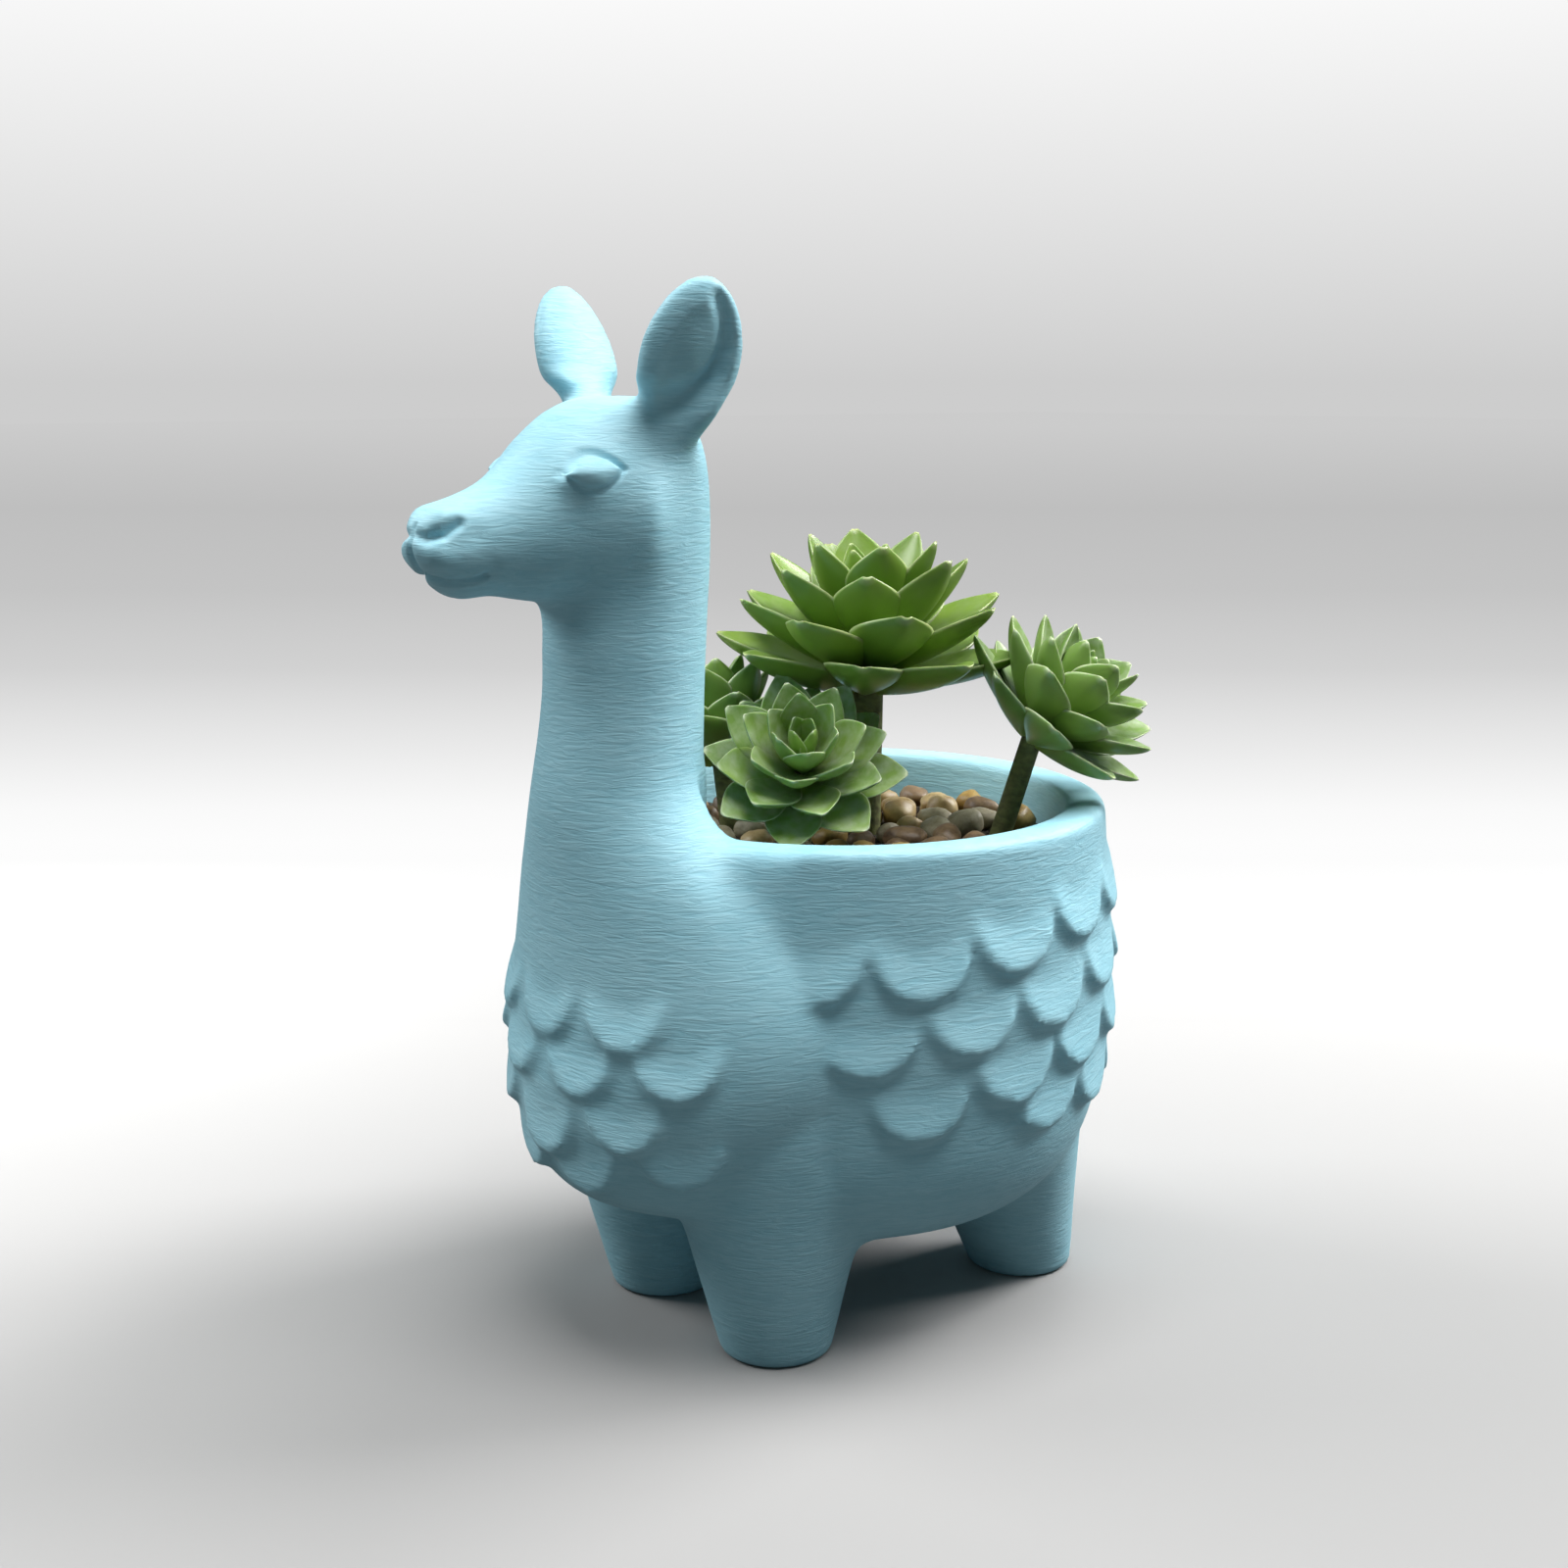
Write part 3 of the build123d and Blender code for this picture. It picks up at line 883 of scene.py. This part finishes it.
@dataclass
class Rosette:
    """A succulent: whorls of thick pointed leaves on a short core, on a stem from the soil."""

    name: str
    length: float
    heart: tuple
    lean: float
    compass: float
    finish: LeafFinish
    seed: int
    growth: float = 1.12
    droop: float = 0.0
    core_radius_share: float = 0.17
    core_tip_share: float = 0.09
    core_height_share: float = 0.60
    leaf_width_share: float = 0.58
    leaf_foot_share: float = 0.30
    leaf_least_share: float = 0.012
    leaf_thickness_share: float = 0.15
    leaf_belly_share: float = 0.75
    leaf_crown_share: float = 0.12
    leaf_keel_share: float = 0.28
    leaf_cup_share: float = 0.26
    leaf_rise_share: float = 0.11
    leaf_seat: float = 0.5 * MM
    widest_power: float = 1.25
    point_power: float = 1.05
    angle_spread: float = 3.0
    roll_spread: float = 6.0
    length_spread: tuple = (0.95, 1.03)
    tone_spread: tuple = (0.2, 1.0)
    across: int = 8
    along: int = 12

    def frame(self) -> Matrix:
        """Place of the core's foot.

        Returns:
            The rosette's matrix.
        """
        side, ahead, up = self.heart
        spot = place(side * CAVITY_RADIUS, ahead * CAVITY_RADIUS, up * RIM_HEIGHT)
        compass = Matrix.Rotation(math.radians(self.compass), 4, "Z")
        lean = Matrix.Rotation(math.radians(self.lean), 4, "Y")
        return Matrix.Translation(spot) @ compass @ lean @ compass.inverted()

    def half_width(self, share: float) -> float:
        """Leaf outline, widest past the middle and closing to a short point.

        Args:
            share: Place along the leaf.

        Returns:
            Half width there, as a share of the greatest half width.
        """
        inner = min(max(share, 0.0), 1.0)
        swell = max(math.sin(math.pi * inner**self.widest_power), 0.0) ** self.point_power
        return max(self.leaf_foot_share * (1.0 - inner) ** 1.5 + swell, self.leaf_least_share)

    def leaf_point(self, share: float, offset: float, length: float, below: bool) -> Vector:
        """Point of the leaf's skin before it is placed.

        Args:
            share: Place along the leaf, 0 to 1.
            offset: Place across it, -1 to 1.
            length: Leaf length.
            below: Whether the point is on the underside.

        Returns:
            The point.
        """
        half = self.half_width(share) * self.leaf_width_share * length / 2
        close = math.sqrt(max(1.0 - share**6, 0.0)) * (1.0 - 0.45 * share**3)
        plump = math.sqrt(max(1.0 - offset * offset, 0.0)) * close
        thickness = self.leaf_thickness_share * length
        height = self.leaf_rise_share * length * share * share + self.leaf_cup_share * half * offset * offset
        if below:
            height -= thickness * self.leaf_belly_share * plump * (1.0 - self.leaf_keel_share * abs(offset))
        else:
            height += thickness * self.leaf_crown_share * plump
        return Vector((share * length, offset * half, height))

    def add_leaf(self, work: bmesh.types.BMesh, length: float, matrix: Matrix, tone: float) -> None:
        """Add one closed leaf to a mesh.

        Args:
            work: Mesh that takes the leaf.
            length: Leaf length.
            matrix: Place of the leaf's foot; it grows along +X.
            tone: Shade of this leaf, 0 to 1.
        """
        layer = work.loops.layers.uv["leaf"]
        tones = work.verts.layers.float["tone"]
        uppers = work.verts.layers.float["upper"]
        grid = bmesh.ops.create_grid(work, x_segments=self.along, y_segments=self.across, size=0.5)
        faces = {f for v in grid["verts"] for f in v.link_faces}
        for face in faces:
            for loop in face.loops:
                loop[layer].uv = (loop.vert.co.y + 0.5, loop.vert.co.x + 0.5)
        under = bmesh.ops.duplicate(work, geom=list(faces))
        lower_faces = [g for g in under["geom"] if isinstance(g, bmesh.types.BMFace)]
        lower = {v for f in lower_faces for v in f.verts}
        bmesh.ops.reverse_faces(work, faces=lower_faces)
        for vert in list(grid["verts"]) + list(lower):
            vert[tones] = tone
            vert[uppers] = 0.0 if vert in lower else 1.0
            vert.co = matrix @ self.leaf_point(vert.co.x + 0.5, vert.co.y * 2.0, length, vert in lower)
        bmesh.ops.remove_doubles(work, verts=list(grid["verts"]) + list(lower), dist=0.02 * MM)

    def whorl(self, ring: Whorl, chance: random.Random) -> bpy.types.Object:
        """Make one ring of leaves.

        Args:
            ring: The ring's sizes.
            chance: Source of the small differences between leaves.

        Returns:
            The ring as one object.
        """
        work = bmesh.new()
        work.loops.layers.uv.new("leaf")
        work.verts.layers.float.new("tone")
        work.verts.layers.float.new("upper")
        core = self.core_radius_share + ring.up_share * (self.core_tip_share - self.core_radius_share)
        up = ring.up_share * self.core_height_share * self.length
        seat = Matrix.Translation((core * self.length - self.leaf_seat, 0.0, up))
        for index in range(ring.count):
            turn = ring.turn + index * 360.0 / ring.count
            turn = turn + chance.uniform(-self.angle_spread, self.angle_spread)
            lift = ring.elevation - self.droop + chance.uniform(-self.angle_spread, self.angle_spread)
            roll = chance.uniform(-self.roll_spread, self.roll_spread)
            length = self.growth * ring.length_share * self.length * chance.uniform(*self.length_spread)
            spin = Matrix.Rotation(math.radians(turn), 4, "Z")
            tilt = Matrix.Rotation(math.radians(-lift), 4, "Y")
            twist = Matrix.Rotation(math.radians(roll), 4, "X")
            matrix = self.frame() @ spin @ seat @ tilt @ twist
            self.add_leaf(work, length, matrix, chance.uniform(*self.tone_spread))
        piece = new_piece(f"{self.name}_{ring.node}_grown", work)
        smooth = piece.modifiers.new("round", "SUBSURF")
        smooth.levels = 1
        smooth.render_levels = 1
        return piece

    def build(self) -> dict:
        """Make all rings.

        Returns:
            Ring name to object.
        """
        chance = random.Random(self.seed)
        return {ring.node: self.whorl(ring, chance) for ring in WHORLS}

    def dress(self, rings: dict, material: bpy.types.Material, stem: bpy.types.Material) -> None:
        """Give the leaves and the stem their finish and place.

        Args:
            rings: Ring name to object.
            material: Leaf material.
            stem: Stem material.
        """
        for node, piece in rings.items():
            piece.data.materials.append(material)
            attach(piece, Body.PLANTING.value)
            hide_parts(f"{self.name}_{node}")
        stalk = frame["nodes"][f"{self.name}_stem"]
        stalk.data.materials.clear()
        stalk.data.materials.append(stem)


@dataclass
class PebbleBed:
    """Irregular pebbles, one at each CAD pebble."""

    node: str
    finish: GrainFinish
    seed: float
    uneven: float = 0.22
    dented: float = 0.06
    stretched: float = 0.18

    def build(self) -> bpy.types.Object:
        """Make the pebbles of one colour.

        Returns:
            The pebbles as one object.
        """
        cad = bmesh.new()
        cad.from_mesh(frame["nodes"][self.node].data)
        bmesh.ops.remove_doubles(cad, verts=cad.verts, dist=0.005 * MM)
        work = bmesh.new()
        for number, island in enumerate(self.islands(cad)):
            low = Vector([min(v.co[i] for v in island) for i in range(3)])
            high = Vector([max(v.co[i] for v in island) for i in range(3)])
            self.add_pebble(work, (low + high) / 2, (high - low) / 2, self.seed + number * 7.3)
        cad.free()
        return new_piece(f"{self.node}_rough", work)

    def islands(self, cad: bmesh.types.BMesh) -> list:
        """Separate solids of a mesh.

        Args:
            cad: The mesh.

        Returns:
            One list of vertices per solid.
        """
        left = set(cad.verts)
        found = []
        while left:
            open_verts = [left.pop()]
            island = list(open_verts)
            while open_verts:
                for edge in open_verts.pop().link_edges:
                    for vert in edge.verts:
                        if vert in left:
                            left.remove(vert)
                            island.append(vert)
                            open_verts.append(vert)
            found.append(island)
        return sorted(found, key=lambda verts: min(tuple(v.co) for v in verts))

    def add_pebble(self, work: bmesh.types.BMesh, centre: Vector, half: Vector, seed: float) -> None:
        """Add one pebble.

        Args:
            work: Mesh that takes the pebble.
            centre: Middle of the CAD pebble.
            half: Half sizes of the CAD pebble.
            seed: Picks the pebble's shape.
        """
        ball = bmesh.ops.create_icosphere(work, subdivisions=3, radius=1.0)
        turn = Matrix.Rotation(seed * 2.4, 3, "Z")
        stretch = 1.0 + self.stretched * math.sin(seed * 1.7)
        for vert in ball["verts"]:
            bulge = noise.noise(vert.co * 1.1 + Vector((seed, seed * 0.37, -seed)))
            dent = noise.noise(vert.co * 2.6 + Vector((-seed, seed * 0.61, seed)))
            size = 1.0 + self.uneven * bulge + self.dented * dent
            shaped = turn @ Vector((vert.co.x * stretch, vert.co.y / stretch, vert.co.z))
            vert.co = centre + Vector((shaped.x * half.x, shaped.y * half.y, shaped.z * half.z)) * size

    def dress(self, piece: bpy.types.Object) -> None:
        """Give the pebbles their finish and place.

        Args:
            piece: The pebbles.
        """
        piece.data.materials.append(self.finish.material())
        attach(piece, Body.PLANTING.value)
        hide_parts(self.node)


@dataclass
class SoilBed:
    """Lumpy crust over the soil's flat top."""

    radius: float = 38.6 * MM
    lump: float = 1.1 * MM
    lift: float = 0.25 * MM
    cells: int = 90

    def build(self) -> bpy.types.Object:
        """Make the crust.

        Returns:
            The crust as one object.
        """
        work = bmesh.new()
        grid = bmesh.ops.create_grid(work, x_segments=self.cells, y_segments=self.cells, size=self.radius)
        neck = place(0.0, NECK_OFFSET, 0.0)
        gone = []
        for vert in grid["verts"]:
            spot = Vector((vert.co.x, vert.co.y + POT_AXIS_Y, 0.0))
            if vert.co.xy.length > self.radius or (spot - neck).length < NOTCH_RADIUS:
                gone.append(vert)
                continue
            rough = noise.fractal(spot * 260.0, 0.9, 2.1, 4)
            vert.co = Vector((spot.x, spot.y, SOIL_TOP + self.lift + self.lump * (0.5 + 0.5 * rough)))
        bmesh.ops.delete(work, geom=gone, context="VERTS")
        return new_piece("soil_crust", work)

    def dress(self, piece: bpy.types.Object, material: bpy.types.Material) -> None:
        """Give crust and soil their finish and place.

        Args:
            piece: The crust.
            material: The soil material.
        """
        piece.data.materials.append(material)
        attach(piece, Body.PLANTING.value)
        ball = frame["nodes"]["soil"]
        ball.data.materials.clear()
        ball.data.materials.append(material)


@dataclass(frozen=True)
class Lamp:
    """A soft square lamp that faces the object."""

    name: str
    spot: tuple
    size: float
    power: float

    def hang(self, target: Vector) -> None:
        """Hang the lamp.

        Args:
            target: Point that the lamp faces.
        """
        data = bpy.data.lights.new(self.name, "AREA")
        data.size = self.size
        data.energy = self.power
        lamp = bpy.data.objects.new(self.name, data)
        lamp.location = Vector(self.spot)
        lamp.rotation_euler = (target - lamp.location).to_track_quat("-Z", "Y").to_euler()
        bpy.context.scene.collection.objects.link(lamp)


LAMPS = (
    Lamp("top", (0.30, 0.00, 1.45), 0.90, 24.0),
    Lamp("right", (0.32, 1.23, 1.05), 0.70, 28.0),
    Lamp("left", (-0.95, -0.75, 1.00), 0.70, 13.0),
)

# Greys of the floor: near the object by depth in metres, further off by share of the way to the horizon
NEAR_GREYS = ((0.10, 0.33), (0.20, 0.35), (0.35, 0.47), (0.50, 0.55))
FAR_GREYS = ((0.27, 0.98), (0.30, 0.95), (0.36, 0.82), (0.45, 0.64), (0.56, 0.55), (0.70, 0.52), (0.88, 0.60))


@dataclass
class Studio:
    """Floor, light and camera at the photograph's angle."""

    eye: Vector = field(default_factory=lambda: Vector((273.65, -206.24, 164.45)) * MM)
    target: Vector = field(default_factory=lambda: Vector((0.0, 3.83, 95.03)) * MM)
    lamp_target: Vector = field(default_factory=lambda: Vector((0.0, 0.0, 80.0)) * MM)
    lens: float = 45.86
    sensor: float = 36.0
    floor_size: float = 8.0
    floor_tint: tuple = (1.025, 1.0, 0.985)
    floor_to_object: tuple = (0.08, 0.08, 0.08)
    left_gain: float = 0.4
    room_colour: tuple = (0.66, 0.92, 1.0)
    room_strength: float = 0.13
    sweep_stops: tuple = ((0.0, 0.61), (0.19, 0.98))

    def build(self) -> None:
        """Set the stage."""
        bpy.context.scene.view_settings.view_transform = "Standard"
        self.camera()
        self.floor()
        self.world()
        for lamp in LAMPS:
            lamp.hang(self.lamp_target)

    def camera(self) -> None:
        """Place the camera."""
        data = bpy.data.cameras.new("view")
        data.lens = self.lens
        data.sensor_width = self.sensor
        data.clip_start = 0.01
        camera = bpy.data.objects.new("view", data)
        camera.location = self.eye
        camera.rotation_euler = (self.target - self.eye).to_track_quat("-Z", "Y").to_euler()
        bpy.context.scene.collection.objects.link(camera)
        bpy.context.scene.camera = camera

    def floor(self) -> None:
        """Lay a plain pale floor that brightens behind the object and fades into the backdrop."""
        work = bmesh.new()
        bmesh.ops.create_grid(work, x_segments=1, y_segments=1, size=self.floor_size)
        floor = new_piece("floor", work)
        graph = Graph("floor", 0.75)
        away = (self.target - self.eye).to_2d().normalized()
        dot = graph.add("ShaderNodeVectorMath", operation="DOT_PRODUCT")
        graph.link(graph.place((1.0, 1.0, 1.0)), dot.inputs[0])
        dot.inputs[1].default_value = (away.x, away.y, 0.0)
        depth = graph.math("ABSOLUTE", dot.outputs["Value"], 0.0)
        stops = tuple((spot, tuple(grey * tint for tint in self.floor_tint)) for spot, grey in NEAR_GREYS)
        near = graph.ramp(graph.math("ADD", dot.outputs["Value"], 0.2), stops)
        # paler to the left of the view, where the object's soft shadow falls
        left = graph.add("ShaderNodeVectorMath", operation="DOT_PRODUCT")
        graph.link(graph.place((1.0, 1.0, 1.0)), left.inputs[0])
        left.inputs[1].default_value = (-away.y, away.x, 0.0)
        lateral = graph.ramp(left.outputs["Value"], ((0.06, 0.0), (0.22, 1.0)))
        paler = graph.add("ShaderNodeVectorMath", operation="SCALE")
        graph.link(near, paler.inputs[0])
        gain = graph.math("ADD", graph.math("MULTIPLY", lateral, self.left_gain), 1.0)
        graph.link(gain, paler.inputs["Scale"])
        light = graph.add("ShaderNodeLightPath")
        graph.colour(graph.mix(light.outputs["Is Camera Ray"], self.floor_to_object, paler.outputs[0]))
        # share of the way to the horizon: 0 at the object, one half a metre behind it
        reach = graph.math("DIVIDE", depth, graph.math("ADD", depth, 1.0))
        far = graph.ramp(reach, FAR_GREYS)
        glow = graph.add("ShaderNodeEmission")
        graph.link(far, glow.inputs["Color"])
        fade = graph.ramp(depth, ((0.16, 0.0), (0.34, 1.0)))
        blend = graph.add("ShaderNodeMixShader")
        graph.link(graph.math("MULTIPLY", fade, light.outputs["Is Camera Ray"]), blend.inputs[0])
        graph.link(graph.shader.outputs[0], blend.inputs[1])
        graph.link(glow.outputs[0], blend.inputs[2])
        graph.link(blend.outputs[0], graph.tree.nodes["Material Output"].inputs["Surface"])
        floor.data.materials.append(graph.material)

    def world(self) -> None:
        """Light the room evenly; the camera sees a grey sweep that turns white above."""
        world = bpy.data.worlds.new("room")
        bpy.context.scene.world = world
        world.use_nodes = True
        tree = world.node_tree
        room = tree.nodes["Background"]
        room.inputs["Color"].default_value = (*self.room_colour, 1.0)
        room.inputs["Strength"].default_value = self.room_strength
        sweep = tree.nodes.new("ShaderNodeBackground")
        coords = tree.nodes.new("ShaderNodeTexCoord")
        split = tree.nodes.new("ShaderNodeSeparateXYZ")
        ramp = tree.nodes.new("ShaderNodeValToRGB")
        for element, (spot, grey) in zip(ramp.color_ramp.elements, self.sweep_stops):
            element.position = spot
            element.color = (grey, grey, grey, 1.0)
        path = tree.nodes.new("ShaderNodeLightPath")
        blend = tree.nodes.new("ShaderNodeMixShader")
        tree.links.new(coords.outputs["Generated"], split.inputs[0])
        tree.links.new(split.outputs["Z"], ramp.inputs["Fac"])
        tree.links.new(ramp.outputs["Color"], sweep.inputs["Color"])
        tree.links.new(path.outputs["Is Camera Ray"], blend.inputs[0])
        tree.links.new(room.outputs[0], blend.inputs[1])
        tree.links.new(sweep.outputs[0], blend.inputs[2])
        tree.links.new(blend.outputs[0], tree.nodes["World Output"].inputs["Surface"])


BRIGHT_LEAF = LeafFinish(
    name="bright_leaf",
    blade=(0.23, 0.36, 0.05),
    shade=(0.11, 0.21, 0.025),
    foot=(0.33, 0.46, 0.08),
    margin=(0.50, 0.54, 0.28),
    bloom=(0.34, 0.45, 0.20),
    bloom_share=0.35,
)
# Leaves of the three small rosettes: a heavier dusty bloom and paler margins, and all their colours painted
# lighter, painted light that makes up for the shade these rosettes sit in
DUSTY_PAINTED_LIGHT_LEAF = LeafFinish(
    name="dusty_painted_light_leaf",
    blade=(0.28, 0.43, 0.10),
    shade=(0.14, 0.26, 0.05),
    foot=(0.38, 0.52, 0.12),
    margin=(0.66, 0.72, 0.50),
    bloom=(0.52, 0.61, 0.41),
    bloom_share=0.6,
)
TALL_LEAF_LENGTH = 22.0 * MM
SMALL_LEAF_LENGTH = 15.5 * MM
ROSETTES = (
    Rosette(
        name="tall_succulent",
        length=TALL_LEAF_LENGTH,
        heart=(0.015, -0.145, 1.215),
        lean=3.0,
        compass=-38.0,
        finish=BRIGHT_LEAF,
        seed=3,
        growth=1.18,
        droop=6.0,
    ),
    Rosette(
        name="front_succulent",
        length=SMALL_LEAF_LENGTH,
        heart=(0.18, 0.36, 1.05),
        lean=44.0,
        compass=-36.0,
        finish=DUSTY_PAINTED_LIGHT_LEAF,
        seed=5,
        growth=1.08,
    ),
    Rosette(
        name="right_succulent",
        length=SMALL_LEAF_LENGTH,
        heart=(0.612, -0.602, 1.125),
        lean=40.0,
        compass=38.0,
        finish=DUSTY_PAINTED_LIGHT_LEAF,
        seed=7,
        growth=1.25,
    ),
    Rosette(
        name="left_succulent",
        length=SMALL_LEAF_LENGTH,
        heart=(-0.48, 0.30, 1.05),
        lean=14.0,
        compass=170.0,
        finish=DUSTY_PAINTED_LIGHT_LEAF,
        seed=11,
    ),
)
PEBBLES = (
    PebbleBed("tan_pebbles", stone("tan_stone", (0.56, 0.43, 0.22), (0.33, 0.21, 0.08)), 1.0),
    PebbleBed("ochre_pebbles", stone("ochre_stone", (0.52, 0.36, 0.11), (0.28, 0.16, 0.035)), 41.0),
    PebbleBed("brown_pebbles", stone("brown_stone", (0.30, 0.20, 0.11), (0.12, 0.07, 0.035)), 83.0),
    PebbleBed("grey_pebbles", stone("grey_stone", (0.44, 0.39, 0.27), (0.20, 0.17, 0.10)), 127.0),
)


def main() -> None:
    """Build, dress and report every piece."""
    logging.basicConfig(level=logging.INFO)
    Studio().build()
    llama = LlamaBody()
    body = llama.build()
    llama.dress(body, PrintFinish())
    LOG.info("llama body: %d faces", len(body.data.polygons))
    stem = STEM_FINISH.material()
    leaf_materials = {finish.name: finish.material() for finish in (BRIGHT_LEAF, DUSTY_PAINTED_LIGHT_LEAF)}
    for rosette in ROSETTES:
        rings = rosette.build()
        rosette.dress(rings, leaf_materials[rosette.finish.name], stem)
        LOG.info("%s: %d rings", rosette.name, len(rings))
    for bed in PEBBLES:
        bed.dress(bed.build())
        LOG.info("%s", bed.node)
    soil = SoilBed()
    soil.dress(soil.build(), SOIL_FINISH.material())
    LOG.info("soil")


if __name__ == "__main__":
    main()
